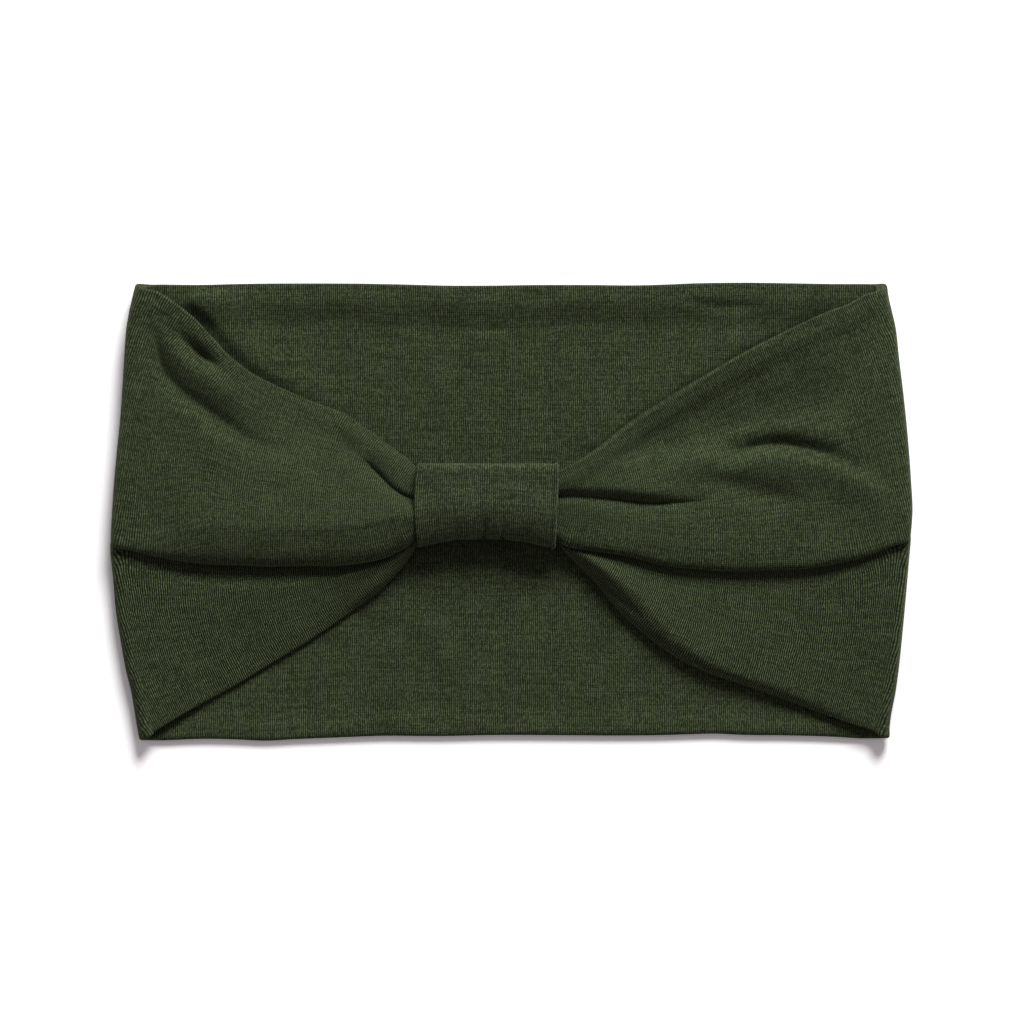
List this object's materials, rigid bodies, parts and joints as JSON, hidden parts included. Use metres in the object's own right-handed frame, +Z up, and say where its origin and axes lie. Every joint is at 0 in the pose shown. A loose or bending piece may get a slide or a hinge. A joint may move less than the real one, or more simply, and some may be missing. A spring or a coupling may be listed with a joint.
{
  "type": "knotted headband",
  "caption": "Wide jersey headband lying flat: a doubled cloth loop whose pleated front halves are gathered into a wrapped knot just off the middle.",
  "frame": {"origin": "middle of the flat underside of the back panel, on the surface that the band lies on", "axes": "+X along the band to the right as seen from above with the knot up, +Y towards the seamed top edge, +Z up out of the knot"},
  "size_m": [0.2297, 0.1317, 0.0151],
  "materials": {
    "olive_jersey": "matt fine jersey with faint lighter streaks",
    "olive_wrap_jersey": "matt fine jersey, wrapped tight",
    "olive_thread": "twisted sewing thread"
  },
  "bodies": {
    "band": {"back_panel": "olive_jersey", "back_top_seam": "olive_thread", "left_side_fold": "olive_jersey", "right_side_fold": "olive_jersey"},
    "front_left": {"front_left_panel": "olive_jersey", "front_left_top_seam": "olive_thread"},
    "front_right": {"front_right_panel": "olive_jersey", "front_right_top_seam": "olive_thread"},
    "knot": {"knot_wrap": "olive_wrap_jersey", "wrap_seam": "olive_thread", "gathered_end_left": "olive_jersey", "gathered_end_right": "olive_jersey", "gathering_thread_left": "olive_thread", "gathering_thread_right": "olive_thread", "end_join_seam": "olive_thread"}
  },
  "joints": [
    {"name": "loop_opening", "type": "slide", "parent": "band", "child": "knot", "axis": [0, 0, 1], "range_m": [0, 0.03]},
    {"name": "front_left_swing", "type": "hinge", "parent": "band", "child": "front_left", "pos_m": [-0.1, 0, 0.01085], "axis": [0, -1, 0], "range_deg": [0, 24.5]},
    {"name": "front_right_swing", "type": "hinge", "parent": "band", "child": "front_right", "pos_m": [0.1, 0, 0.01085], "axis": [0, 1, 0], "range_deg": [0, 20.5]}
  ],
  "couplings": [
    {"joint": "front_left_swing", "follows": "loop_opening", "rad_per_m": 13.879},
    {"joint": "front_right_swing", "follows": "loop_opening", "rad_per_m": 11.567}
  ]
}
